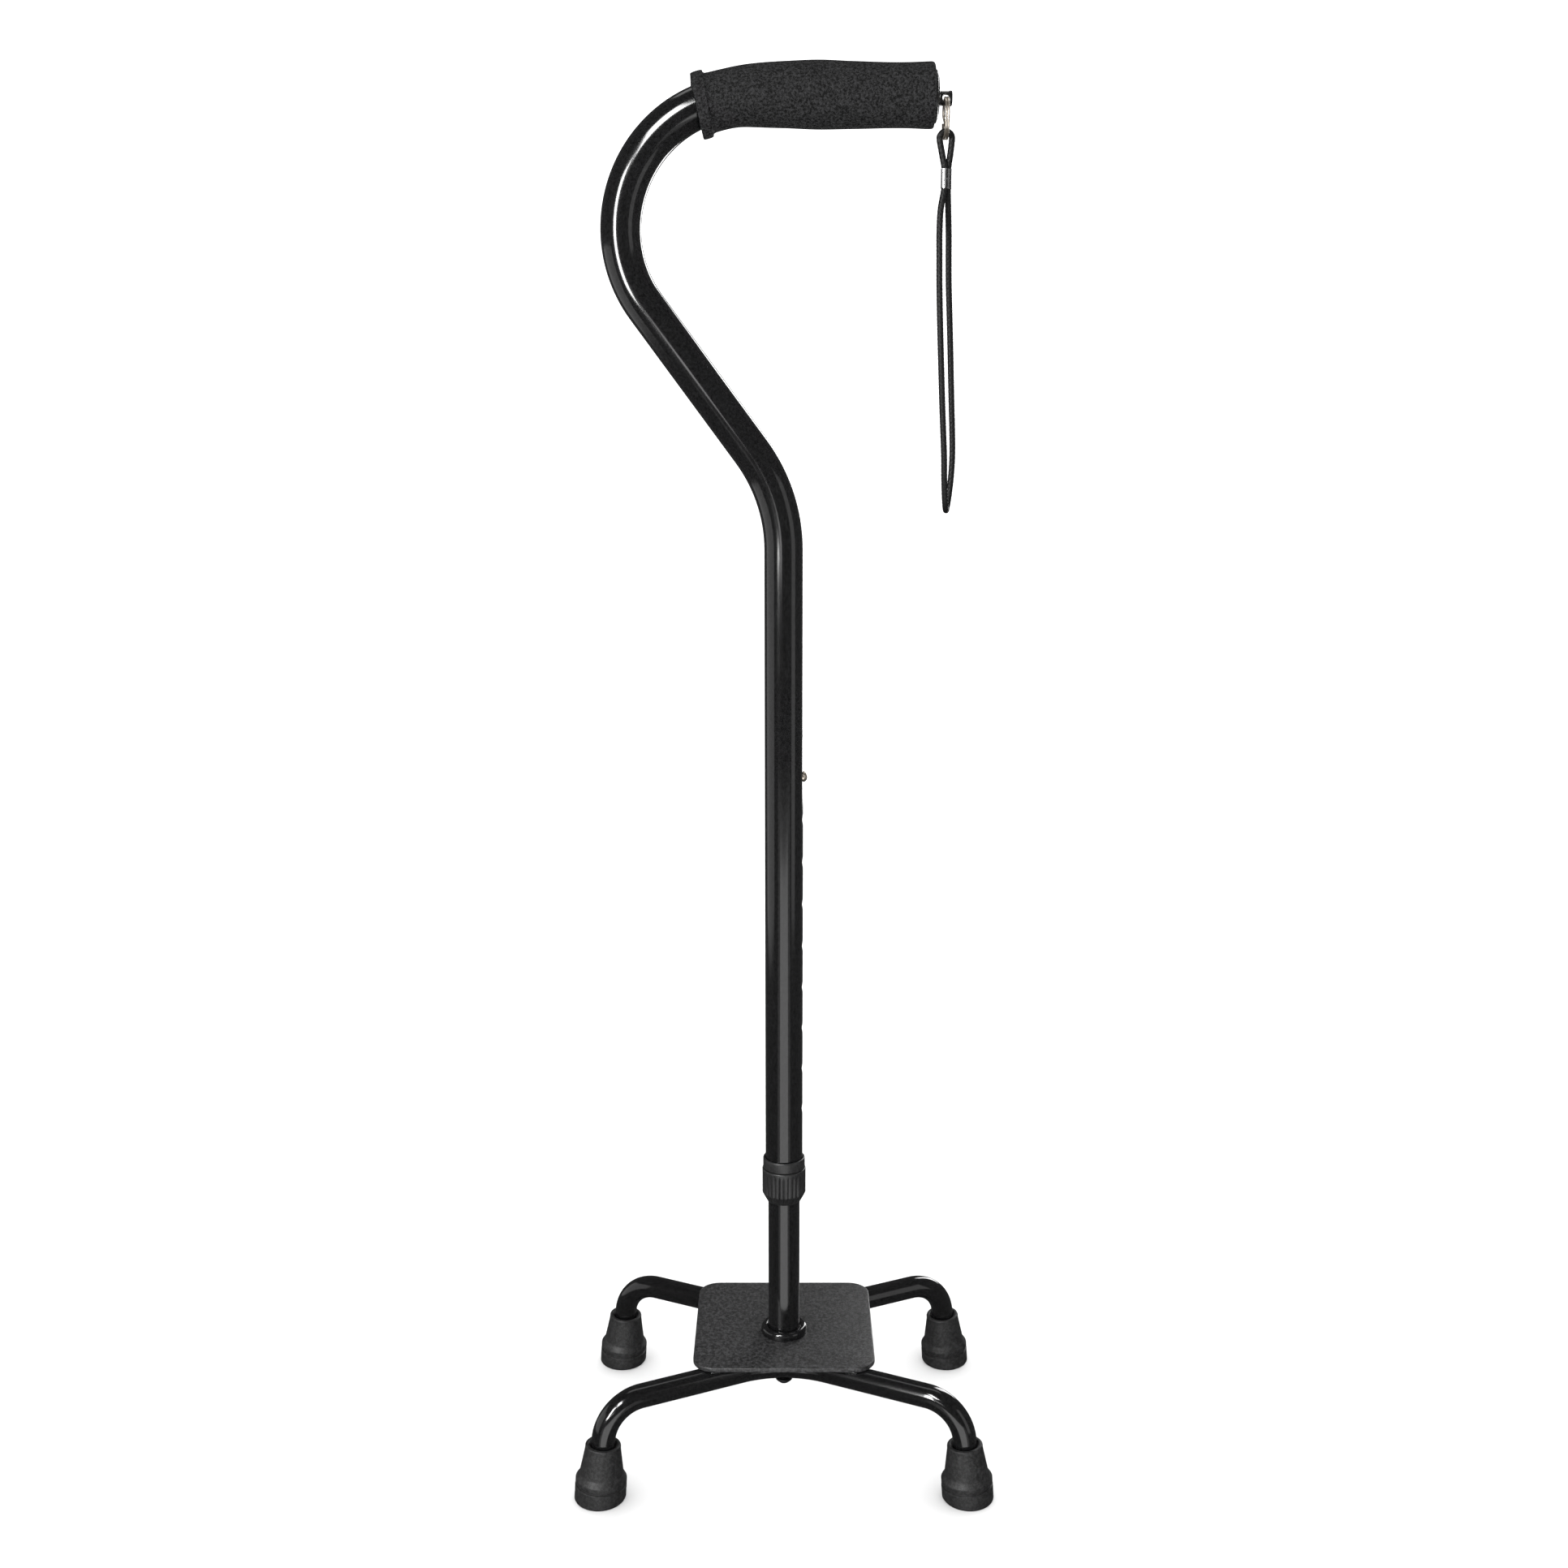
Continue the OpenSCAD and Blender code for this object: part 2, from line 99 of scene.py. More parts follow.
# Places read off the frame, in millimetres
STEM_Y = sum(corner.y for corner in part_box("stem_tube")) / 2 / MM
HANDLE_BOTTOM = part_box("handle_tube")[0].z / MM
STEM_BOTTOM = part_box("stem_tube")[0].z / MM
PLATE_LOW, PLATE_HIGH = (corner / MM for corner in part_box("base_plate"))
LEG_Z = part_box("front_leg_tube")[1].z / MM - LEG_OD / 2
GRIP_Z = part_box("handle_tube")[1].z / MM - HANDLE_OD / 2
TUBE_END_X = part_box("handle_tube")[1].x / MM
GRIP_END_X = TUBE_END_X + 3.5
RING_LOW, RING_HIGH = (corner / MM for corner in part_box("split_ring"))
FERRULE_LOW, FERRULE_HIGH = (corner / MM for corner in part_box("strap_ferrule"))
NUT_LOW, NUT_HIGH = (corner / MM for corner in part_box("lock_nut"))
RIM_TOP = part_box("tube_bushing")[1].z / MM


# ---------------------------------------------------------------- mesh tools

def turns(count):
    """The angles that divide a full turn evenly."""
    return [2 * math.pi * k / count for k in range(count)]


def add_object(name, vertices, faces, scale=MM):
    """A new object from vertices in millimetres."""
    mesh = bpy.data.meshes.new(name)
    mesh.from_pydata([tuple(c * scale for c in v) for v in vertices], [], faces)
    mesh.validate()
    piece = bpy.data.objects.new(name, mesh)
    bpy.context.scene.collection.objects.link(piece)
    return piece


def shade(piece, angle=32):
    """Smooth shading, with edges sharper than the angle kept crisp."""
    work = bmesh.new()
    work.from_mesh(piece.data)
    bmesh.ops.remove_doubles(work, verts=work.verts, dist=1e-7)
    bmesh.ops.recalc_face_normals(work, faces=work.faces)
    if work.calc_volume(signed=True) < 0:
        bmesh.ops.reverse_faces(work, faces=work.faces)
    for face in work.faces:
        face.smooth = True
    for edge in work.edges:
        edge.smooth = edge.calc_face_angle(0) < math.radians(angle)
    work.to_mesh(piece.data)
    work.free()
    return piece


def grid_faces(rows, columns, closed_rows=False):
    """Quads of a grid whose rows close on themselves."""
    faces = []
    for i in range(rows if closed_rows else rows - 1):
        for k in range(columns):
            a, b = i * columns, (i + 1) % rows * columns
            faces.append((a + k, a + (k + 1) % columns, b + (k + 1) % columns, b + k))
    return faces


def capped_faces(rows, columns):
    """Quads of a grid whose first and last rows are closed by a face."""
    faces = grid_faces(rows, columns)
    faces.append(tuple(reversed(range(columns))))
    faces.append(tuple(range((rows - 1) * columns, rows * columns)))
    return faces


def rounded(outline, closed=True, steps=5):
    """An outline of (r, z) or (r, z, fillet) points with its fillets cut as arcs."""
    points = []
    count = len(outline)
    for i, corner in enumerate(outline):
        here = Vector(corner[:2])
        fillet = corner[2] if len(corner) > 2 else 0
        if not fillet or (not closed and i in (0, count - 1)):
            points.append(here)
            continue
        back = Vector(outline[i - 1][:2]) - here
        on = Vector(outline[(i + 1) % count][:2]) - here
        turn = math.pi - back.angle(on)
        reach = fillet * math.tan(turn / 2)
        centre_way = (back.normalized() + on.normalized()).normalized()
        centre = here + centre_way * (fillet / math.cos(turn / 2))
        first = here + back.normalized() * reach - centre
        last = here + on.normalized() * reach - centre
        side = 1 if first.x * last.y - first.y * last.x > 0 else -1
        for step in range(steps + 1):
            angle = side * turn * step / steps
            spin = Matrix.Rotation(angle, 2)
            points.append(centre + spin @ first)
    return [tuple(p) for p in points]


def lathe(name, outline, place=Matrix(), sides=96, closed=True, steps=5):
    """Turns an outline about local Z. A closed outline makes a ring, an open one a plug."""
    line = rounded(outline, closed, steps)
    vertices = []
    for r, z in line:
        for a in turns(sides):
            vertices.append(place @ Vector((r * math.cos(a), r * math.sin(a), z)))
    return shade(add_object(name, vertices, grid_faces(len(line), sides, closed)))


def on_stem(z=0):
    """A place on the stem's axis."""
    return Matrix.Translation((0, STEM_Y, z))


def on_grip(x, z=GRIP_Z):
    """A place whose local Z runs along the grip, over the stem's middle at x = 0."""
    return Matrix.Translation((x, STEM_Y, z)) @ Matrix.Rotation(math.pi / 2, 4, "Y")


def bent_path(start, heading, moves, straight_step=6, bend_step=2.5):
    """Points along a bent tube. A move is a length, or (radius, degrees, axis) for a bend."""
    place, way = Vector(start), Vector(heading).normalized()
    points = [place.copy()]
    for move in moves:
        if isinstance(move, tuple):
            radius, degrees, axis = move
            axis = Vector(axis).normalized()
            out = axis.cross(way) * radius
            centre = place + out
            count = max(2, round(degrees / bend_step))
            for i in range(1, count + 1):
                spin = Matrix.Rotation(math.radians(degrees) * i / count, 3, axis)
                points.append(centre - spin @ out)
            place = points[-1].copy()
            way = Matrix.Rotation(math.radians(degrees), 3, axis) @ way
        else:
            count = max(1, round(move / straight_step))
            points += [place + way * move * i / count for i in range(1, count + 1)]
            place = points[-1].copy()
    return points


def frames_along(points, side):
    """A square frame at each point of a path: (way, side, up), turned as little as possible."""
    frames = []
    side = Vector(side)
    for i in range(len(points)):
        way = (points[min(i + 1, len(points) - 1)] - points[max(i - 1, 0)]).normalized()
        side = (side - way * side.dot(way)).normalized()
        frames.append((way, side.copy(), way.cross(side)))
    return frames


def tube(name, points, outer, inner, side=(0, 1, 0), sides=96, edge=0.35):
    """A hollow tube along a path, its end edges eased."""
    frames = frames_along(points, side)
    shells = [(points[0], frames[0], outer / 2 - edge)]
    first, last = points[0] + frames[0][0] * edge, points[-1] - frames[-1][0] * edge
    shells += [(first, frames[0], outer / 2)]
    shells += [(p, f, outer / 2) for p, f in zip(points[1:-1], frames[1:-1])]
    shells += [(last, frames[-1], outer / 2), (points[-1], frames[-1], outer / 2 - edge)]
    shells += [(p, f, inner / 2) for p, f in zip(reversed(points), reversed(frames))]
    vertices = []
    for place, (way, across, up), radius in shells:
        for a in turns(sides):
            vertices.append(place + radius * (math.cos(a) * across + math.sin(a) * up))
    return shade(add_object(name, vertices, grid_faces(len(shells), sides, True)))


def drill(piece, cutters):
    """Cuts the cutters out of a piece and removes them."""
    for cutter in cutters:
        cut = piece.modifiers.new("cut", "BOOLEAN")
        cut.operation, cut.solver, cut.object = "DIFFERENCE", "EXACT", cutter
    graph = bpy.context.evaluated_depsgraph_get()
    mesh = bpy.data.meshes.new_from_object(piece.evaluated_get(graph))
    piece.modifiers.clear()
    old, piece.data = piece.data, mesh
    bpy.data.meshes.remove(old)
    for cutter in cutters:
        bpy.data.objects.remove(cutter)
    return shade(piece)


def rod(name, start, end, diameter, sides=48):
    """A solid cutter between two points."""
    start, way = Vector(start), Vector(end) - Vector(start)
    place = Matrix.Translation(start) @ way.to_track_quat("Z", "Y").to_matrix().to_4x4()
    r, length = diameter / 2, way.length
    return lathe(name, [(0, 0), (r, 0), (r, length), (0, length)], place, sides, closed=False)


def smooth_path(points, per_span):
    """A Catmull-Rom line through the points."""
    out = []
    for i in range(len(points) - 1):
        a, b = points[max(i - 1, 0)], points[i]
        c, d = points[i + 1], points[min(i + 2, len(points) - 1)]
        for step in range(per_span):
            t = step / per_span
            out.append(0.5 * (2 * b + (c - a) * t + (2 * a - 5 * b + 4 * c - d) * t ** 2
                              + (3 * b - a - 3 * c + d) * t ** 3))
    return out + [points[-1].copy()]


def evenly(points, step):
    """The same line with its points a step apart."""
    out, left = [points[0]], step
    for a, b in zip(points, points[1:]):
        span = (b - a).length
        while left <= span:
            out.append(a.lerp(b, left / span))
            left += step
        left -= span
    if (out[-1] - points[-1]).length > step / 2:
        out.append(points[-1])
    return out


def dress(piece, slot, material, *nodes):
    """Gives a finished piece its material, in place of its CAD nodes."""
    piece.data.materials.clear()
    piece.data.materials.append(material)
    if nodes:
        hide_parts(*nodes)
    return piece


def settle(piece, body, slot, material, *nodes):
    """Puts a finished piece on its body and dresses it."""
    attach(piece, body)
    return dress(piece, slot, material, *nodes)


# ---------------------------------------------------------------- materials

class Surface:
    """A node material that is built up layer by layer on one Principled shader."""

    def __init__(self, name, colour, roughness, metallic=0.0, specular=0.5):
        self.material = bpy.data.materials.new(name)
        self.material.use_nodes = True
        self.tree = self.material.node_tree
        self.shader = self.tree.nodes["Principled BSDF"]
        self.set("Base Color", (*colour, 1))
        self.set("Roughness", roughness)
        self.set("Metallic", metallic)
        self.set("Specular IOR Level", specular)
        self.coords = self.tree.nodes.new("ShaderNodeTexCoord").outputs["Object"]
        self.normal = None

    def set(self, socket, value):
        self.shader.inputs[socket].default_value = value
        return self

    def link(self, a, b):
        self.tree.links.new(a, b)

    def noise(self, size, detail=3, rough=0.55, stretch=(1, 1, 1)):
        """Noise whose grains are size millimetres across."""
        mapping = self.tree.nodes.new("ShaderNodeMapping")
        mapping.inputs["Scale"].default_value = stretch
        self.link(self.coords, mapping.inputs["Vector"])
        noise = self.tree.nodes.new("ShaderNodeTexNoise")
        noise.inputs["Scale"].default_value = 1 / (size * MM)
        noise.inputs["Detail"].default_value = detail
        noise.inputs["Roughness"].default_value = rough
        self.link(mapping.outputs["Vector"], noise.inputs["Vector"])
        return noise.outputs["Fac"]

    def cells(self, size):
        """Round cells, size millimetres across."""
        cells = self.tree.nodes.new("ShaderNodeTexVoronoi")
        cells.inputs["Scale"].default_value = 1 / (size * MM)
        self.link(self.coords, cells.inputs["Vector"])
        return cells.outputs["Distance"]

    def ramp(self, source, low, high, start=0.3, end=0.7):
        ramp = self.tree.nodes.new("ShaderNodeValToRGB")
        ramp.color_ramp.elements[0].position = start
        ramp.color_ramp.elements[1].position = end
        ramp.color_ramp.elements[0].color = (*low, 1)
        ramp.color_ramp.elements[1].color = (*high, 1)
        self.link(source, ramp.inputs["Fac"])
        return ramp.outputs["Color"]

    def colour(self, source, low, high, start=0.3, end=0.7):
        self.link(self.ramp(source, low, high, start, end), self.shader.inputs["Base Color"])
        return self

    def roughness(self, source, low, high):
        spread = self.tree.nodes.new("ShaderNodeMapRange")
        spread.inputs["To Min"].default_value = low
        spread.inputs["To Max"].default_value = high
        self.link(source, spread.inputs["Value"])
        self.link(spread.outputs["Result"], self.shader.inputs["Roughness"])
        return self

    def bump(self, source, height, strength=1.0):
        """Relief, height in millimetres. Each call adds to the one before."""
        bump = self.tree.nodes.new("ShaderNodeBump")
        bump.inputs["Strength"].default_value = strength
        bump.inputs["Distance"].default_value = height * MM
        self.link(source, bump.inputs["Height"])
        if self.normal:
            self.link(self.normal, bump.inputs["Normal"])
        self.normal = bump.outputs["Normal"]
        self.link(self.normal, self.shader.inputs["Normal"])
        return self


def grey(level):
    return (level, level, level * 1.04)


def tube_coat():
    """Gloss black powder coat: a little orange peel and a cloudy gloss."""
    coat = Surface("black_tube_coat", grey(0.004), 0.2)
    coat.colour(coat.noise(1.4, 2, 0.8), grey(0.001), grey(0.007))
    coat.roughness(coat.noise(20, 4), 0.09, 0.15)
    coat.bump(coat.noise(1.5, 2), 0.008, 0.4)
    coat.bump(coat.noise(0.4, 2), 0.004, 0.4)
    return coat.material


def plate_coat():
    """Satin black powder coat with a coarse grain."""
    coat = Surface("black_plate_coat", grey(0.01), 0.45)
    coat.colour(coat.noise(2.2, 3, 0.95), grey(0.001), grey(0.034), 0.43, 0.6)
    coat.roughness(coat.noise(9, 4), 0.4, 0.52)
    coat.bump(coat.noise(1.3, 3), 0.12, 0.7)
    return coat.material


def foam():
    """Closed-cell foam rubber: matte, with fine pale specks."""
    skin = Surface("foam_skin", grey(0.007), 0.92, specular=0.13)
    skin.colour(skin.noise(1.3, 2, 0.9), grey(0.001), grey(0.019), 0.4, 0.66)
    skin.bump(skin.cells(0.9), 0.12, 0.5)
    skin.bump(skin.noise(4, 3), 0.1, 0.5)
    return skin.material


def moulded_plastic(name, level, low, high, grain):
    """Black moulded plastic."""
    plastic = Surface(name, grey(level), low)
    plastic.colour(plastic.noise(1.2, 2, 0.8), grey(level * 0.2), grey(level * 2))
    plastic.roughness(plastic.noise(3, 3), low, high)
    plastic.bump(plastic.noise(0.6, 3), grain, 0.5)
    return plastic.material


def rubber():
    """Moulded black rubber with a faint bloom."""
    skin = Surface("tip_rubber", grey(0.006), 0.6, specular=0.4)
    skin.colour(skin.noise(1.8, 3, 0.95), grey(0.001), grey(0.015), 0.42, 0.62)
    skin.roughness(skin.noise(5, 4), 0.48, 0.7)
    skin.bump(skin.noise(0.9, 3), 0.06, 0.6)
    skin.bump(skin.noise(4, 3), 0.06, 0.4)
    return skin.material


def bright_metal(name, colour, low, high, grain, stretch=(1, 1, 1)):
    """Plated metal with fine polishing lines."""
    metal = Surface(name, colour, low, metallic=1.0)
    dull = tuple(c * 0.86 for c in colour)
    metal.colour(metal.noise(4, 3), dull, colour)
    metal.roughness(metal.noise(1.2, 4, 0.6, stretch), low, high)
    metal.bump(metal.noise(grain, 3, 0.6, stretch), 0.003, 0.3)
    return metal.material


def braid_nylon():
    """Woven nylon yarn: satin filaments in each plait."""
    yarn = Surface("braid_nylon", grey(0.003), 0.5, specular=0.18)
    yarn.colour(yarn.noise(0.8, 3), grey(0.001), grey(0.006))
    yarn.bump(yarn.noise(0.14, 2), 0.03, 0.7)
    return yarn.material


def dark_steel(name, level, roughness):
    """Blackened or plain steel with a drawn grain."""
    metal = Surface(name, grey(level), roughness, metallic=0.9)
    metal.colour(metal.noise(2, 4), grey(level * 0.8), grey(level * 1.2))
    metal.roughness(metal.noise(0.8, 3), roughness * 0.85, roughness * 1.2)
    metal.bump(metal.noise(0.3, 3, 0.6, (1, 1, 0.1)), 0.01, 0.5)
    return metal.material


TUBE_COAT, PLATE_COAT, FOAM, RUBBER = tube_coat(), plate_coat(), foam(), rubber()
GLOSS_PLASTIC = moulded_plastic("gloss_plastic_black", 0.002, 0.3, 0.4, 0.01)
COLLAR_PLASTIC = moulded_plastic("collar_plastic_black", 0.006, 0.36, 0.5, 0.03)
NICKEL = bright_metal("nickel_plate", (0.62, 0.56, 0.48), 0.3, 0.34, 4)
CHROME = bright_metal("chrome_plate", (0.82, 0.82, 0.83), 0.22, 0.26, 4)
BRAID = braid_nylon()
SPRING_STEEL, ZINC = dark_steel("spring_steel", 0.35, 0.3), dark_steel("zinc_plate", 0.5, 0.35)
BLACK_OXIDE = dark_steel("bolt_black_oxide", 0.03, 0.35)


# ---------------------------------------------------------------- camera

# In front of the cane and a little below the grip, looking slightly down
CAMERA_PLACE = (0, -1.008, 0.626)
CAMERA_DIP = 12
SENSOR_WIDTH = 36
FOCAL_LENGTH = 40.66

camera = bpy.data.objects.new("camera", bpy.data.cameras.new("camera"))
bpy.context.scene.collection.objects.link(camera)
camera.location = CAMERA_PLACE
camera.rotation_euler = (math.radians(90 - CAMERA_DIP), 0, 0)
camera.data.sensor_width = SENSOR_WIDTH
camera.data.lens = FOCAL_LENGTH
bpy.context.scene.camera = camera


# ---------------------------------------------------------------- wrist strap

# Route of the strap's cord, the same points as in the part's design
CORD_ROUTE = [
    (0.0862, -0.0094, 0.7465), (0.0862, -0.0094, 0.7515), (0.0848, -0.0086, 0.759),
    (0.0834, -0.008, 0.7665), (0.0838, -0.008, 0.7687), (0.085, -0.008, 0.77),
    (0.0867, -0.008, 0.7705), (0.0884, -0.008, 0.77), (0.0896, -0.008, 0.7687),
    (0.09, -0.008, 0.7665), (0.0893, -0.0075, 0.759), (0.0884, -0.0066, 0.7515),
    (0.0884, -0.0066, 0.741), (0.089, -0.005, 0.73), (0.0897, -0.0022, 0.718), (0.0901, 0, 0.706),
    (0.0906, 0.0018, 0.692), (0.0914, 0.003, 0.677), (0.0922, 0.0038, 0.661),
    (0.0935, 0.0041, 0.63), (0.0942, 0.0038, 0.614), (0.0945, 0.0032, 0.6),
    (0.0939, 0.0022, 0.588), (0.0928, 0.0005, 0.5783), (0.0917, -0.002, 0.5723),
    (0.0906, -0.008, 0.5698), (0.0896, -0.014, 0.5723), (0.0889, -0.0165, 0.5783),
    (0.0883, -0.0182, 0.588), (0.0879, -0.0192, 0.6), (0.0871, -0.0198, 0.614),
    (0.0862, -0.0201, 0.63), (0.0848, -0.0198, 0.661), (0.0842, -0.019, 0.677),
    (0.0838, -0.0178, 0.692), (0.0837, -0.016, 0.706), (0.0837, -0.0138, 0.718),
    (0.0843, -0.0114, 0.73), (0.0862, -0.0094, 0.741), (0.0862, -0.0094, 0.746),
]


def braid_height(around, along, carriers=8, pitch=2.6):
    """Height of a two-over, two-under plait, from 0 in the valleys to 1."""
    right = carriers * around + along / pitch
    left = carriers * around - along / pitch
    over = (math.floor(right) + math.floor(left)) % 4 < 2
    strand, other = (right, left) if over else (left, right)
    body = abs(math.sin(math.pi * strand)) ** 0.6
    ends = abs(math.sin(math.pi * ((other + 0.5 * (math.floor(strand) % 2)) % 1)))
    return body * (0.55 + 0.45 * ends ** 0.5)


def strap_cord():
    """A braided cord along the route, its plaits modelled."""
    sides, step, relief = 40, 0.26, 0.26
    route_steps, measured_every = 12, 8
    route = [Vector(p) / MM for p in CORD_ROUTE]
    line = evenly(smooth_path(route, route_steps), step)
    vertices = []
    for i, (place, (way, across, up)) in enumerate(zip(line, frames_along(line, (0, -1, 0)))):
        for k in range(sides):
            a = 2 * math.pi * k / sides
            height = braid_height(k / sides, i * step)
            radius = CORD_D / 2 - relief * (1 - height)
            vertices.append(place + radius * (math.cos(a) * across + math.sin(a) * up))
    cord = shade(add_object("strap_cord_braid", vertices, capped_faces(len(line), sides)), 80)
    settle(cord, "strap", "braided_nylon", BRAID, "strap_cord")
    length = sum((b - a).length for a, b in zip(line, line[1:]))
    return cord, [tuple(p * MM) for p in line[::measured_every] + [line[-1]]], length * MM


def strap_ferrule():
    """A pressed sleeve, waisted between the two strands, with lipped ends."""
    centre = (FERRULE_LOW + FERRULE_HIGH) / 2
    length = FERRULE_HIGH.z - FERRULE_LOW.z
    spacing, wall, flare, waist = 3.56, 0.4, 0.14, 0.5
    turn = Matrix.Rotation(math.radians(51.8), 3, "Z")
    sides, rows = 64, 34

    def loop(swell, z):
        ring = []
        for a in turns(sides):
            end = spacing / 2 if math.cos(a) > 0 else -spacing / 2
            radius = CORD_D / 2 + swell
            pinch = waist * abs(math.sin(a)) ** 6
            spot = Vector((end + radius * math.cos(a), (radius - pinch) * math.sin(a), 0))
            ring.append(centre + turn @ spot + Vector((0, 0, z)))
        return ring

    vertices = []
    for i in range(rows):
        t = i / (rows - 1)
        z = (t - 0.5) * length
        lip = flare * (abs(2 * t - 1) ** 10)
        vertices += loop(wall - flare + lip, z)
    for i in range(rows):
        z = (0.5 - i / (rows - 1)) * length
        vertices += loop(-0.02, z)
    sleeve = shade(add_object("strap_ferrule_sleeve", vertices, grid_faces(2 * rows, sides, True)))
    return settle(sleeve, "strap", "chrome", CHROME, "strap_ferrule")


cord, cord_line, cord_length = strap_cord()
ferrule = strap_ferrule()


def split_ring():
    """Two turns of flat-sided wire, side by side, with a step from one to the other."""
    centre = (RING_LOW + RING_HIGH) / 2
    mean_r = (RING_HIGH.z - RING_LOW.z) / 2 - RING_WIRE_R
    half_w, half_t, half_pitch = 0.6, 0.82, 0.66
    start, total, step_start, step_run = 98, 700, 330, 40
    sides, count = 28, 260
    vertices = []
    for i in range(count + 1):
        swept = total * i / count
        along = min(max((swept - step_start) / step_run, 0), 1)
        shift = half_pitch * (2 * (3 * along ** 2 - 2 * along ** 3) - 1)
        a = math.radians(start + swept)
        out = Vector((0, math.sin(a), math.cos(a)))
        for b in turns(sides):
            w = math.copysign(abs(math.cos(b)) ** 0.45, math.cos(b)) * half_w
            t = math.copysign(abs(math.sin(b)) ** 0.6, math.sin(b)) * half_t
            vertices.append(centre + out * (mean_r + t) + Vector((shift + w, 0, 0)))
    ring = shade(add_object("split_ring_coil", vertices, capped_faces(count + 1, sides)), 60)
    return settle(ring, "ring", "nickel", NICKEL, "split_ring")


split_ring()


# ---------------------------------------------------------------- handle

def handle_path(bottom, step=6):
    """The handle tube's line, from its foot over the crown to the grip's end."""
    across = (0, 1, 0)
    back = (0, -1, 0)
    return bent_path((0, STEM_Y, bottom), (0, 0, 1), [
        LOWER_BEND_Z - bottom, (LOWER_BEND_R, SLANT_ANGLE, back), SLANT_LENGTH,
        (UPPER_BEND_R, SLANT_ANGLE, across), (CROWN_R, 90, across), GRIP_RUN,
    ], step)


def handle_tube():
    """The bent tube, with its height holes through one wall."""
    shell = tube("handle_tube_shell", handle_path(HANDLE_BOTTOM), HANDLE_OD, HANDLE_ID, sides=128)
    cutters = [
        rod("cutter", (5, STEM_Y, TOP_HOLE_Z - i * HOLE_PITCH),
            (15, STEM_Y, TOP_HOLE_Z - i * HOLE_PITCH), HOLE_D)
        for i in range(HOLE_COUNT)
    ]
    drill(shell, cutters)
    return settle(shell, "handle", "black_tube", TUBE_COAT, "handle_tube")


handle_tube()


def foam_grip():
    """The sleeve as stations along the tube: x, z, lean of the cut in degrees, radius."""
    stations = [
        (-46.6, 783.1, 11.9, 15.9), (-46.2, 783.2, 11.9, 16.9), (-43.4, 784, 11, 17.2),
        (-40.8, 784.7, 10.3, 16.9), (-40.3, 784.8, 10.3, 15.7), (-38.6, 785.2, 10.3, 15.1),
        (-31.4, 786.9, 8, 15.1), (-24, 788.2, 4, 15.4), (-16, 788.8, 0, 15.9),
        (0.4, 789.1, 0, 16.8), (17.7, 789.1, 0, 17.35), (35.5, 788.9, 0, 17.05),
        (52.8, 788.8, 0, 16.5), (66, 788.8, 0, 16.6), (76.6, 788.8, 0, 16.9),
        (79, 788.8, 0, 16.8), (79.9, 788.7, 0, 16.3), (80.2, 788.6, 0, 15.4), (80.2, 788.5, 0, 13.2),
    ]
    sides, dent_depth = 128, 0.12
    rows = smooth_path([Vector(station) for station in stations], 5)
    vertices = []
    for x, z, lean, radius in rows:
        tip = math.radians(lean)
        up = Vector((-math.sin(tip), 0, math.cos(tip)))
        for a in turns(sides):
            dent = dent_depth * math.sin(3 * a + x * 0.09) * math.sin(x * 0.11 + a)
            spot = Vector((x, STEM_Y, z)) + (radius + dent) * math.cos(a) * up
            vertices.append(spot + Vector((0, (radius + dent) * math.sin(a), 0)))
    outer = len(rows)
    mouth_x, end_x, crown_z = stations[1][0], stations[-1][0], GRIP_Z - CROWN_R
    bore = [p for p in handle_path(HANDLE_BOTTOM, 3) if p.x > mouth_x and p.z > crown_z]
    bore.append(Vector((end_x, STEM_Y, GRIP_Z)))
    for place, (way, across, up) in zip(reversed(bore), reversed(frames_along(bore, (0, 1, 0)))):
        for a in turns(sides):
            vertices.append(place + HANDLE_OD / 2 * (math.sin(a) * across + math.cos(a) * up))
    sleeve = add_object("foam_grip_sleeve", vertices, grid_faces(outer + len(bore), sides, True))
    shade(sleeve, 40)
    return settle(sleeve, "handle", "black_foam", FOAM, "foam_grip")


foam_grip()


def end_plug():
    """Shank, domed cap, post and flange, with the ring's hole through the post."""
    post_z = GRIP_Z - 1
    shank, post_r, flange_r, hole_d = 16, 3.7, 4, 4.6
    cap = lathe("end_plug_cap", [
        (0, -shank), (HANDLE_ID / 2, -shank, 0.8), (HANDLE_ID / 2, 0), (HANDLE_OD / 2, 0),
        (HANDLE_OD / 2, 3.5), (CAP_R, 3.5, 0.2), (CAP_R, 4.6, 0.5), (11.9, 5, 0.5),
        (11.3, 5.5, 0.5), (8.6, 6, 2), (7.2, 6.15, 1), (0, 6.2),
    ], on_grip(TUBE_END_X), closed=False)
    post = lathe("end_plug_post", [
        (0, 1), (4.6, 1), (4.4, 2.9, 0.6), (post_r, 3.5, 0.6), (post_r, 7.7, 0.2),
        (flange_r, 8, 0.2), (flange_r, 9.5, 0.6), (0, 9.5),
    ], on_grip(GRIP_END_X, post_z), closed=False)
    hole_x = (RING_LOW.x + RING_HIGH.x) / 2
    hole_ends = [(hole_x, STEM_Y + reach, post_z) for reach in (-9, 9)]
    drill(post, [rod("cutter", *hole_ends, hole_d)])
    settle(cap, "handle", "gloss_black_plastic", GLOSS_PLASTIC, "end_plug")
    settle(post, "handle", "gloss_black_plastic", GLOSS_PLASTIC)


end_plug()


# ---------------------------------------------------------------- collar

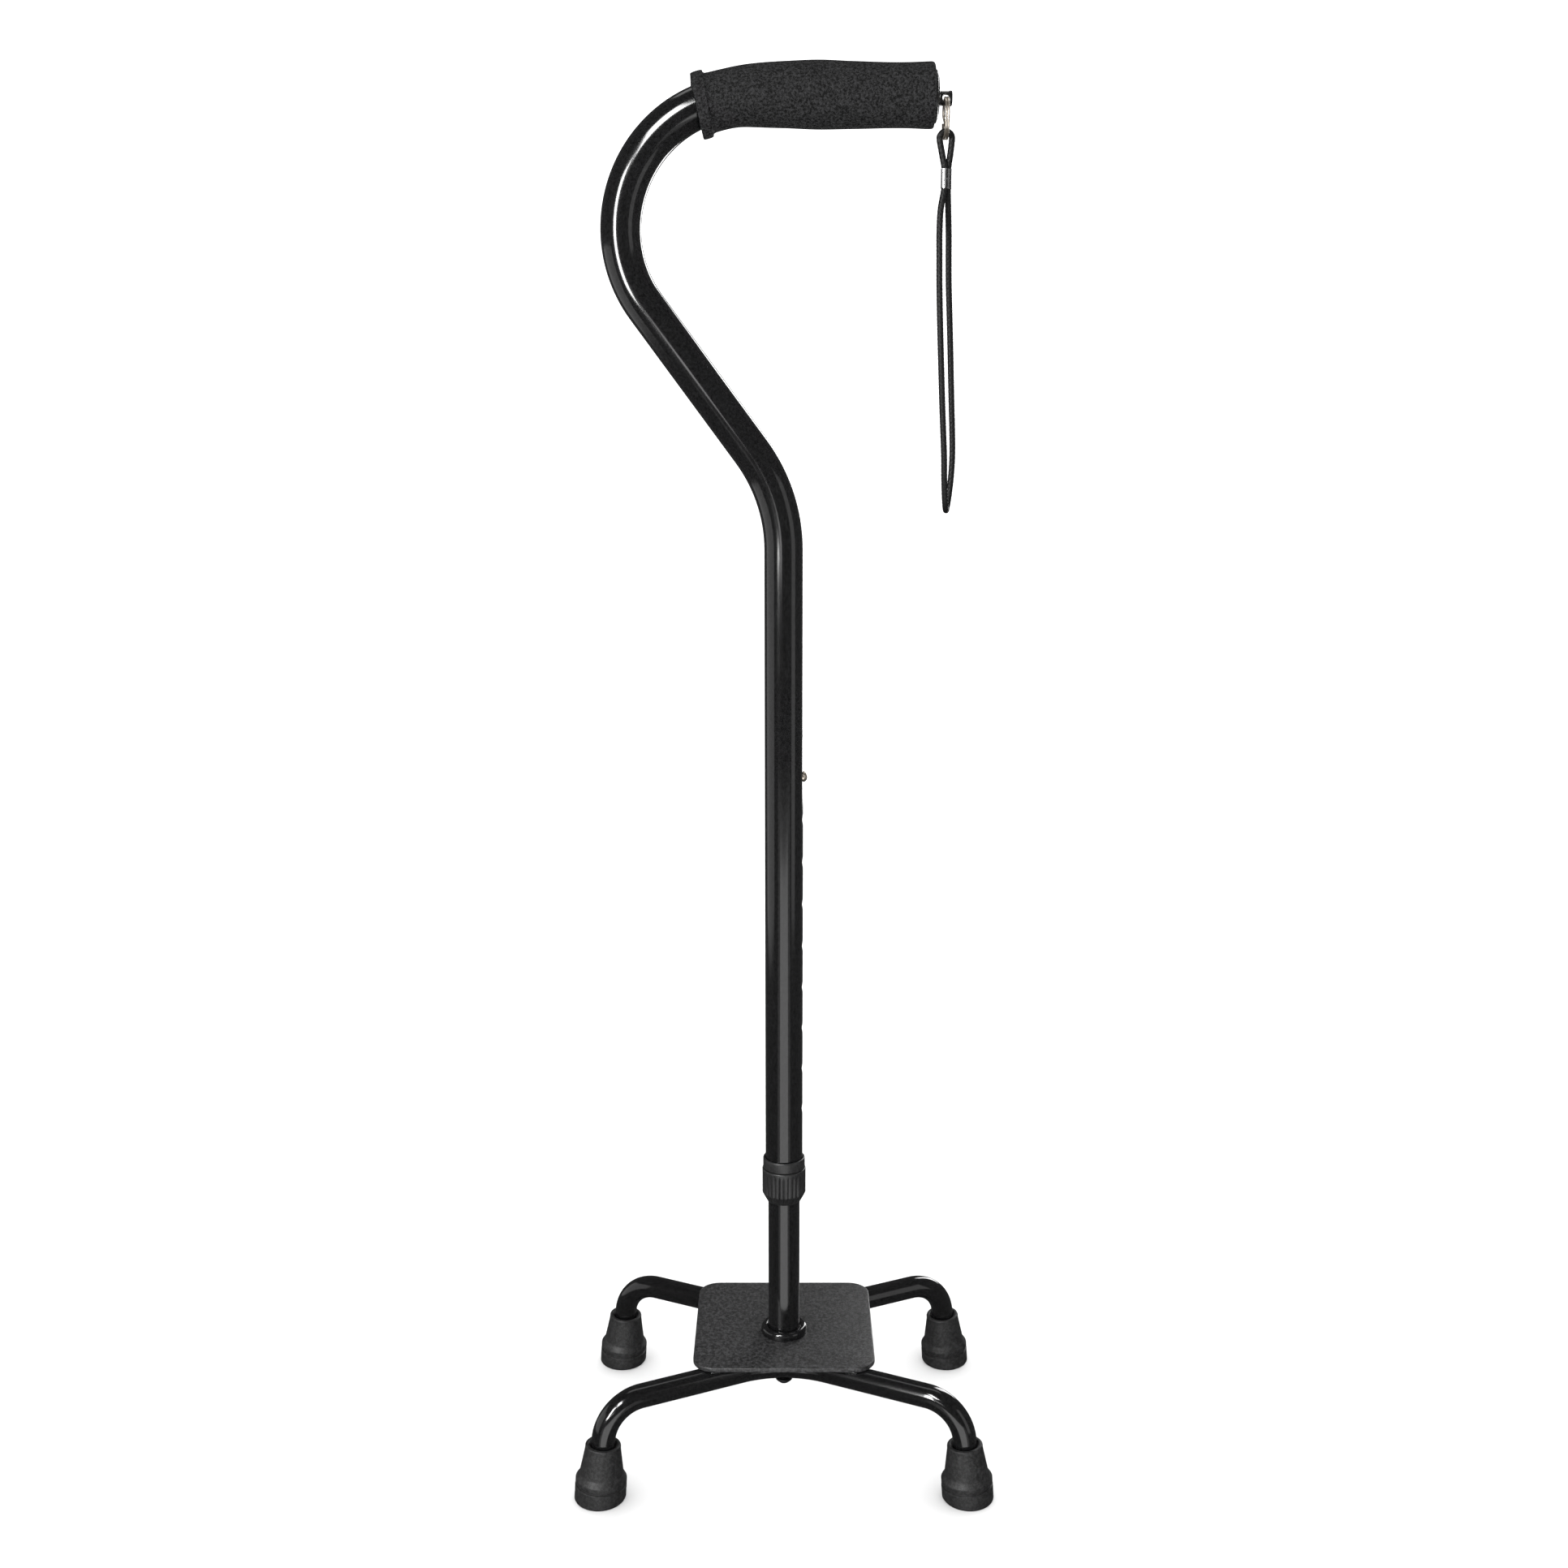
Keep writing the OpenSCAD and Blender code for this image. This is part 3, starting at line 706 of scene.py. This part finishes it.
def tube_bushing():
    """A rim round the handle tube's end over a threaded sleeve."""
    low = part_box("tube_bushing")[0].z / MM
    seat = HANDLE_OD / 2 + 0.02
    bore, root, crest, rim, pitch = 9.6, 11.7, 12.1, 12.6, 1.4
    thread = []
    for i in range(int((NUT_HIGH.z - low - 3) / pitch)):
        z = low + 1.5 + pitch * i
        thread += [(root, z), (crest, z + 0.5), (crest, z + 0.8), (root, z + 1.3)]
    body = lathe("tube_bushing_body", [
        (bore, low, 0.2), (root, low, 0.4), *thread, (root, NUT_HIGH.z - 0.3),
        (crest, NUT_HIGH.z + 0.1), (rim, NUT_HIGH.z + 0.5, 0.3), (rim, RIM_TOP, 0.8),
        (seat + 0.38, RIM_TOP, 0.3), (seat, RIM_TOP - 0.8), (seat, HANDLE_BOTTOM),
        (bore, HANDLE_BOTTOM),
    ], on_stem(), sides=128, steps=4)
    return settle(body, "handle", "black_plastic", COLLAR_PLASTIC, "tube_bushing")


def lock_nut():
    """A ribbed barrel over a tapered foot, every fourth groove a deep one."""
    ribs, per_rib, deep, shallow = 28, 10, 0.75, 0.45
    sides = ribs * per_rib
    z0, z1 = NUT_LOW.z, NUT_HIGH.z
    eye, bore, r = STEM_OD / 2 + 0.09, 12.18, (NUT_HIGH.x - NUT_LOW.x) / 2
    line = rounded([
        (eye, z0, 0.2), (10.2, z0, 0.5), (11.2, z0 + 1.8), (12.3, z0 + 3.8), (r, z0 + 5.4, 1),
        (r, z0 + 7.5), (r, z1 - 3.4), (r, z1 - 2.6), (r, z1, 0.7),
        (bore, z1, 0.3), (bore, z0 + 6.6), (eye, z0 + 6.6),
    ], steps=4)
    vertices = []
    for radius, z in line:
        ramp = min(max((z - z0 - 1.2) / 2, 0), 1) * min(max((z1 - 2.4 - z) / 1.2, 0), 1)
        for k in range(sides):
            a = 2 * math.pi * k / sides
            rib = k // per_rib
            groove = (deep if rib % 4 == 0 else shallow) * abs(math.cos(ribs * a / 2)) ** 5
            cut = groove * ramp if radius > bore + 0.05 or z < z0 + 6 else 0
            vertices.append(Vector(((radius - cut) * math.cos(a),
                                    STEM_Y + (radius - cut) * math.sin(a), z)))
    nut = shade(add_object("lock_nut_barrel", vertices, grid_faces(len(line), sides, True)), 40)
    return settle(nut, "lock_nut", "black_plastic", COLLAR_PLASTIC, "lock_nut")


tube_bushing()
lock_nut()


# ---------------------------------------------------------------- stem

def stem_tube():
    """The straight inner tube, with the button's hole through one wall."""
    line = bent_path((0, STEM_Y, STEM_BOTTOM), (0, 0, 1), [STEM_TOP_Z - STEM_BOTTOM])
    shell = tube("stem_tube_shell", line, STEM_OD, STEM_ID, sides=128)
    drill(shell, [rod("cutter", (5, STEM_Y, BUTTON_Z), (15, STEM_Y, BUTTON_Z), HOLE_D)])
    return settle(shell, "base", "black_tube", TUBE_COAT, "stem_tube")


def snap_button():
    """A domed pin with a flange that keeps it in the stem."""
    back, tip = (corner.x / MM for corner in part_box("snap_button"))
    flange, dome, r = back + 0.8, 2.3, BUTTON_D / 2
    arc = [(r * math.cos(a), tip - dome + dome * math.sin(a))
           for a in (math.radians(9 * i) for i in range(10))]
    head = lathe("snap_button_head", [
        (0, back), (FLANGE_R, back, 0.2), (FLANGE_R, flange, 0.2), (r, flange), *arc, (0, tip),
    ], on_grip(0, BUTTON_Z), sides=64, closed=False)
    return settle(head, "button", "nickel", NICKEL, "snap_button")


def button_spring():
    """A strip bent to a V: one leg on the stem's far wall, the other behind the button."""
    low, high = (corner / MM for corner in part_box("button_spring"))
    thick, wide, edge = 0.5, high.y - low.y, 0.12
    front, back, apex = high.x - thick / 2, low.x + thick / 2 + 0.02, -3
    bends = rounded([
        (front, high.z), (front, BUTTON_Z - 6, 3), (apex + 1.2, low.z + 1.4, 1.4),
        (apex, low.z + 0.4, 0.8), (apex - 1.2, low.z + 1.4, 1.4), (back, BUTTON_Z + 2),
    ], closed=False)
    line = evenly([Vector((x, STEM_Y, z)) for x, z in bends], 0.4)
    section = [(across * (wide / 2 - inset), up * (thick / 2 - edge + inset))
               for across, up, inset in ((1, -1, 0), (1, 1, 0), (1, 1, edge), (-1, 1, edge),
                                         (-1, 1, 0), (-1, -1, 0), (-1, -1, edge), (1, -1, edge))]
    vertices = [place + across * w + up * t
                for place, (way, across, up) in zip(line, frames_along(line, (0, 1, 0)))
                for w, t in section]
    faces = capped_faces(len(line), len(section))
    spring = shade(add_object("button_spring_leaf", vertices, faces))
    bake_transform(spring)
    return dress(spring, "spring_steel", SPRING_STEEL, "button_spring")


def stem_plug():
    """A cap over the stem's lower end, with a shank inside it."""
    cap, shank = 1.6, 12
    plug = lathe("stem_plug_cap", [
        (0, -cap), (STEM_OD / 2, -cap, 0.7), (STEM_OD / 2, 0), (STEM_ID / 2, 0),
        (STEM_ID / 2, shank, 0.6), (0, shank),
    ], on_stem(STEM_BOTTOM), closed=False)
    return settle(plug, "base", "black_plastic", COLLAR_PLASTIC, "stem_plug")


def stem_ring():
    """The round collar at the stem's foot."""
    low, high = (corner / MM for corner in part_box("stem_ring"))
    r = (high.x - low.x) / 2
    foot = lathe("stem_ring_collar", [
        (STEM_OD / 2, low.z), (r, low.z, 0.4), (r, high.z, 2.2), (STEM_OD / 2 + 1.2, high.z, 0.8),
        (STEM_OD / 2, high.z - 0.8),
    ], on_stem(), sides=128)
    return settle(foot, "base", "black_tube", TUBE_COAT, "stem_ring")


stem_tube()
snap_button()
button_spring()
stem_plug()
stem_ring()


# ---------------------------------------------------------------- base

def base_plate():
    """A round-cornered plate with eased edges, pierced for the stem."""
    corner_r, edge, steps, edge_steps = 13, 0.7, 14, 5
    wide, deep = (PLATE_HIGH.x - PLATE_LOW.x) / 2, (PLATE_HIGH.y - PLATE_LOW.y) / 2
    middle = (PLATE_HIGH + PLATE_LOW) / 2

    def outline(inset, z):
        ring = []
        for quarter in range(4):
            sx, sy = (1, 1, -1, -1)[quarter], (-1, 1, 1, -1)[quarter]
            for i in range(steps + 1):
                a = math.radians(-90 + 90 * quarter + 90 * i / steps)
                ring.append((middle.x + sx * (wide - corner_r) + (corner_r - inset) * math.cos(a),
                             middle.y + sy * (deep - corner_r) + (corner_r - inset) * math.sin(a), z))
        return ring

    eased = [math.radians(90 * i / edge_steps) for i in range(edge_steps + 1)]
    rings = [(edge * (1 - math.sin(a)), PLATE_LOW.z + edge * (1 - math.cos(a))) for a in eased]
    rings += [(edge * (1 - math.sin(a)), PLATE_HIGH.z - edge * (1 - math.cos(a)))
              for a in reversed(eased)]
    columns = 4 * (steps + 1)
    vertices = [p for inset, z in rings for p in outline(inset, z)]
    plate = add_object("base_plate_panel", vertices, capped_faces(len(rings), columns))
    drill(plate, [rod("cutter", (0, STEM_Y, 50), (0, STEM_Y, 80), STEM_OD, 128)])
    return settle(plate, "base", "satin_black_plate", PLATE_COAT, "base_plate")


def leg_path(side):
    """The line of one bow from foot to foot. side is -1 for the front bow and 1 for the rear."""
    plan = math.radians(BOW_ANGLE / 2)
    splay = math.radians(LEG_SPLAY)
    knee = 90 - LEG_SPLAY
    knee_end = LEG_Z - KNEE_R * (1 - math.cos(math.radians(knee)))
    knee_t = FOOT_X / math.cos(plan) - KNEE_R * math.cos(splay) - knee_end * math.tan(splay)
    straight = knee_t - BOW_R * math.tan(plan)
    shank = knee_end / math.cos(splay) - LEG_START
    out = Vector((-math.cos(plan), side * math.sin(plan), 0))
    foot = Vector((-FOOT_X, side * FOOT_Y, 0))
    up = Vector((-out.x * math.sin(splay), -out.y * math.sin(splay), math.cos(splay)))
    left_knee = (side * math.sin(plan), math.cos(plan), 0)
    right_knee = (-side * math.sin(plan), math.cos(plan), 0)
    return bent_path(foot + up * LEG_START, up, [
        shank, (KNEE_R, knee, left_knee), straight, (BOW_R, BOW_ANGLE, (0, 0, side)), straight,
        (KNEE_R, knee, right_knee), shank,
    ], 5)


def leg_tube(name, side, node):
    """One bow, which makes two legs."""
    shell = tube(name, leg_path(side), LEG_OD, LEG_ID, side=(0, 1, 0), sides=80)
    return settle(shell, "base", "black_tube", TUBE_COAT, node)


def weld_bead(name, side, hand, edge, start=12, end=46):
    """A rippled bead of weld along one edge of a bow, under its coat."""
    radius, ripple, step = 1.5, 1.9, 0.35
    middle = [p for p in leg_path(side) if start < hand * p.x < end]
    middle.sort(key=lambda p: abs(p.x))
    offset = [p + Vector((0, side * edge * 5, 0)) for p in middle]
    line = evenly([Vector((p.x, p.y, PLATE_LOW.z - 0.9)) for p in offset], step)
    count, sides = len(line) - 1, 16
    vertices = []
    for i, (place, (way, across, up)) in enumerate(zip(line, frames_along(line, (0, 0, 1)))):
        t = i / count
        swell = min(1, 6 * t, 6 * (1 - t)) ** 0.5 if 0 < t < 1 else 0.05
        size = radius * swell * (0.86 + 0.14 * abs(math.sin(math.pi * i * step / ripple)))
        for a in turns(sides):
            vertices.append(place + size * (math.cos(a) * across + math.sin(a) * up))
    bead = shade(add_object(name, vertices, capped_faces(count + 1, sides)), 50)
    return settle(bead, "base", "black_tube", TUBE_COAT)


def rubber_tip(name, side_x, side_y, node):
    """A tip: ribbed sole, floor band, groove, shoulder, cone and rolled lip."""
    tread, fine = 1.2, 0.2
    groove_r, band_r, bore = TIP_R - 1.1, TIP_R - 0.1, LEG_OD / 2 + 0.02
    sole = [(0, tread), (3, tread, fine)]
    for inner, outer in ((3.4, 6), (8, 10.4)):
        sole += [(inner, 0, fine), (outer, 0, fine)]
        sole += [(outer + 0.4, tread, fine), (outer + 1.6, tread, fine)]
    line = rounded([
        *sole, (12.4, 0, fine), (14.5, 0, 0.6), (TIP_R, 1, 0.5), (TIP_R, 8.8, 0.4),
        (groove_r, 9.2, fine), (groove_r, 10, fine), (band_r, 10.4, 0.3), (band_r, 13, 0.9),
        (12.9, 16.2, 2.2), (10.5, TIP_H - 3, 3), (10.4, TIP_H, 1), (LEG_OD / 2 + 1.3, TIP_H, 0.6),
        (bore, TIP_H - 2.2, 0.4), (bore, 5), (0, 5),
    ], closed=False, steps=5)
    plan = math.atan2(side_y * math.sin(math.radians(BOW_ANGLE / 2)),
                      side_x * math.cos(math.radians(BOW_ANGLE / 2)))
    turn = Matrix.Rotation(plan, 3, "Z")
    sides, vertices = 112, []
    for r, h in line:
        ease = min(h / 9, 1)
        lean = math.radians(-LEG_SPLAY) * ease ** 2 * (3 - 2 * ease)
        shift = Vector((-h * math.tan(math.radians(LEG_SPLAY)), 0, h))
        spin = Matrix.Rotation(lean, 3, "Y")
        for a in turns(sides):
            spot = spin @ Vector((r * math.cos(a), r * math.sin(a), 0)) + shift
            vertices.append(turn @ spot + Vector((side_x * FOOT_X, side_y * FOOT_Y, 0)))
    tip = shade(add_object(name, vertices, grid_faces(len(line), sides)), 40)
    return settle(tip, "base", "black_rubber", RUBBER, node)


def leg_bolt(name, side):
    """A low round-headed bolt under a bow, its hex socket facing the floor."""
    low, high = (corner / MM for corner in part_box("leg_bolts"))
    plan = math.radians(BOW_ANGLE / 2)
    y = FOOT_Y - FOOT_X * math.tan(plan) + BOW_R * (1 / math.cos(plan) - 1)
    shank_r, crown, seat, socket_d, socket_top = 2.5, low.z + 0.4, low.z + 3.5, 3.4, low.z + 2.4
    head = lathe(name, [
        (0, crown), (2.8, crown, 1), (BOLT_HEAD_R, low.z + 2.5, 1), (BOLT_HEAD_R, seat, 0.3),
        (shank_r, seat), (shank_r, high.z), (0, high.z),
    ], Matrix.Translation((0, side * y, 0)), sides=64, closed=False)
    socket = rod("cutter", (0, side * y, low.z - 1), (0, side * y, socket_top), socket_d, 6)
    drill(head, [socket])
    return settle(head, "base", "black_bolt", BLACK_OXIDE)


base_plate()
leg_tube("front_bow", -1, "front_leg_tube")
leg_tube("rear_bow", 1, "rear_leg_tube")
for side, place in ((-1, "front"), (1, "rear")):
    for hand in (-1, 1):
        for edge in (-1, 1):
            weld_bead(f"weld_{place}_{hand + 1}_{edge + 1}", side, hand, edge)
    for hand, word in ((-1, "left"), (1, "right")):
        rubber_tip(f"rubber_tip_{place}_{word}", hand, side, f"tip_{place}_{word}")
front_bolt = leg_bolt("leg_bolt_front", -1)
leg_bolt("leg_bolt_rear", 1)
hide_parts("leg_bolts")
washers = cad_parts["tip_washers"].data.materials
washers.clear()
washers.append(ZINC)


# ---------------------------------------------------------------- studio

def floor():
    """A pale round floor whose rim fades into the backdrop."""
    sides, radius, fade = 96, 1.6, 0.9
    rim = [(radius * math.cos(a), radius * math.sin(a), 0) for a in turns(sides)]
    ground = add_object("studio_floor", rim, [tuple(range(sides))], 1)
    paper = Surface("studio_paper", (0.74, 0.74, 0.74), 0.9, specular=0.1)
    paper.colour(paper.noise(900, 2), (0.73, 0.73, 0.73), (0.75, 0.75, 0.75))
    reach = paper.tree.nodes.new("ShaderNodeVectorMath")
    reach.operation = "LENGTH"
    paper.link(paper.coords, reach.inputs[0])
    ease = paper.tree.nodes.new("ShaderNodeMapRange")
    ease.interpolation_type = "SMOOTHSTEP"
    ease.inputs["From Min"].default_value = fade
    ease.inputs["From Max"].default_value = radius
    paper.link(reach.outputs["Value"], ease.inputs["Value"])
    mix = paper.tree.nodes.new("ShaderNodeMixShader")
    clear = paper.tree.nodes.new("ShaderNodeBsdfTransparent")
    paper.link(ease.outputs["Result"], mix.inputs["Fac"])
    paper.link(paper.shader.outputs["BSDF"], mix.inputs[1])
    paper.link(clear.outputs["BSDF"], mix.inputs[2])
    paper.link(mix.outputs["Shader"], paper.tree.nodes["Material Output"].inputs["Surface"])
    ground.data.materials.append(paper.material)
    ground.visible_glossy = False


def softbox(name, place, target, width, height, watts, roll=0):
    """A rectangular lamp that the camera doesn't see, rolled about its own axis."""
    light = bpy.data.lights.new(name, "AREA")
    light.shape, light.size, light.size_y, light.energy = "RECTANGLE", width, height, watts
    box = bpy.data.objects.new(name, light)
    bpy.context.scene.collection.objects.link(box)
    box.location = place
    aim = (Vector(target) - Vector(place)).to_track_quat("-Z", "Y").to_matrix()
    box.rotation_euler = (aim @ Matrix.Rotation(math.radians(roll), 3, "Z")).to_euler()
    box.visible_camera = False
    return box


def mirrored(box):
    """Leaves a lamp in the reflections only."""
    box.visible_diffuse = False
    return box


def backdrop():
    """White to the camera, a bright low ring to the surfaces, nearly dark in reflections."""
    seen, ring_light, overhead_light, mirrored_light = 1.5, 3.3, 0.5, 0.07
    ring_top, overhead_start = 0.6, 0.8
    world = bpy.data.worlds.new("studio")
    world.use_nodes = True
    tree = world.node_tree
    shade_out = tree.nodes["Background"]
    shade_out.inputs["Color"].default_value = (1, 1, 1, 1)
    way = tree.nodes.new("ShaderNodeSeparateXYZ")
    tree.links.new(tree.nodes.new("ShaderNodeTexCoord").outputs["Generated"], way.inputs["Vector"])
    height = tree.nodes.new("ShaderNodeMapRange")
    height.inputs["From Min"].default_value = ring_top
    height.inputs["From Max"].default_value = overhead_start
    height.inputs["To Min"].default_value = ring_light
    height.inputs["To Max"].default_value = overhead_light
    tree.links.new(way.outputs["Z"], height.inputs["Value"])
    rays = tree.nodes.new("ShaderNodeLightPath")
    level = height.outputs["Result"]
    for ray, strength in (("Is Glossy Ray", mirrored_light), ("Is Camera Ray", seen)):
        mix = tree.nodes.new("ShaderNodeMix")
        mix.inputs[3].default_value = strength
        tree.links.new(rays.outputs[ray], mix.inputs[0])
        tree.links.new(level, mix.inputs[2])
        level = mix.outputs[0]
    tree.links.new(level, shade_out.inputs["Strength"])
    bpy.context.scene.world = world
    bpy.context.scene.view_settings.view_transform = "Standard"


floor()
backdrop()
softbox("overhead", (0, 0.5, 2.0), (0, 0, 0), 1.4, 0.5, 3)

# The bright streak down the crown, the bow and the slanted tube
mirrored(softbox("crown_strip", (-0.51, -1.2, 1.42), (-0.06, 0, 0.77), 0.3, 0.62, 20, 40))
mirrored(softbox("bow_strip", (-0.76, -1.2, 0.82), (-0.08, 0, 0.72), 0.3, 0.76, 26))
mirrored(softbox("slant_lamp", (-0.37, -1.2, 0.49), (-0.04, 0, 0.6), 0.2, 0.14, 0.4))

# Soft gleams on the legs, the collar and the two edges of the stem
mirrored(softbox("front_panel", (0, -1.2, -0.3), (0, 0, 0.2), 1.1, 0.7, 4.4))
mirrored(softbox("front_fill", (0, -1.3, -0.3), (0, 0, 0.2), 2.0, 0.8, 2.4))
mirrored(softbox("left_panel", (-1.3, 0, 0.3), (0, 0, 0.3), 1.5, 0.8, 3.4))
mirrored(softbox("right_panel", (1.2, -0.8, 0.5), (0, 0, 0.5), 0.6, 1.2, 1.9))
mirrored(softbox("back_strip", (0.7, 1.3, 0.7), (0, 0, 0.5), 0.35, 1.3, 12))
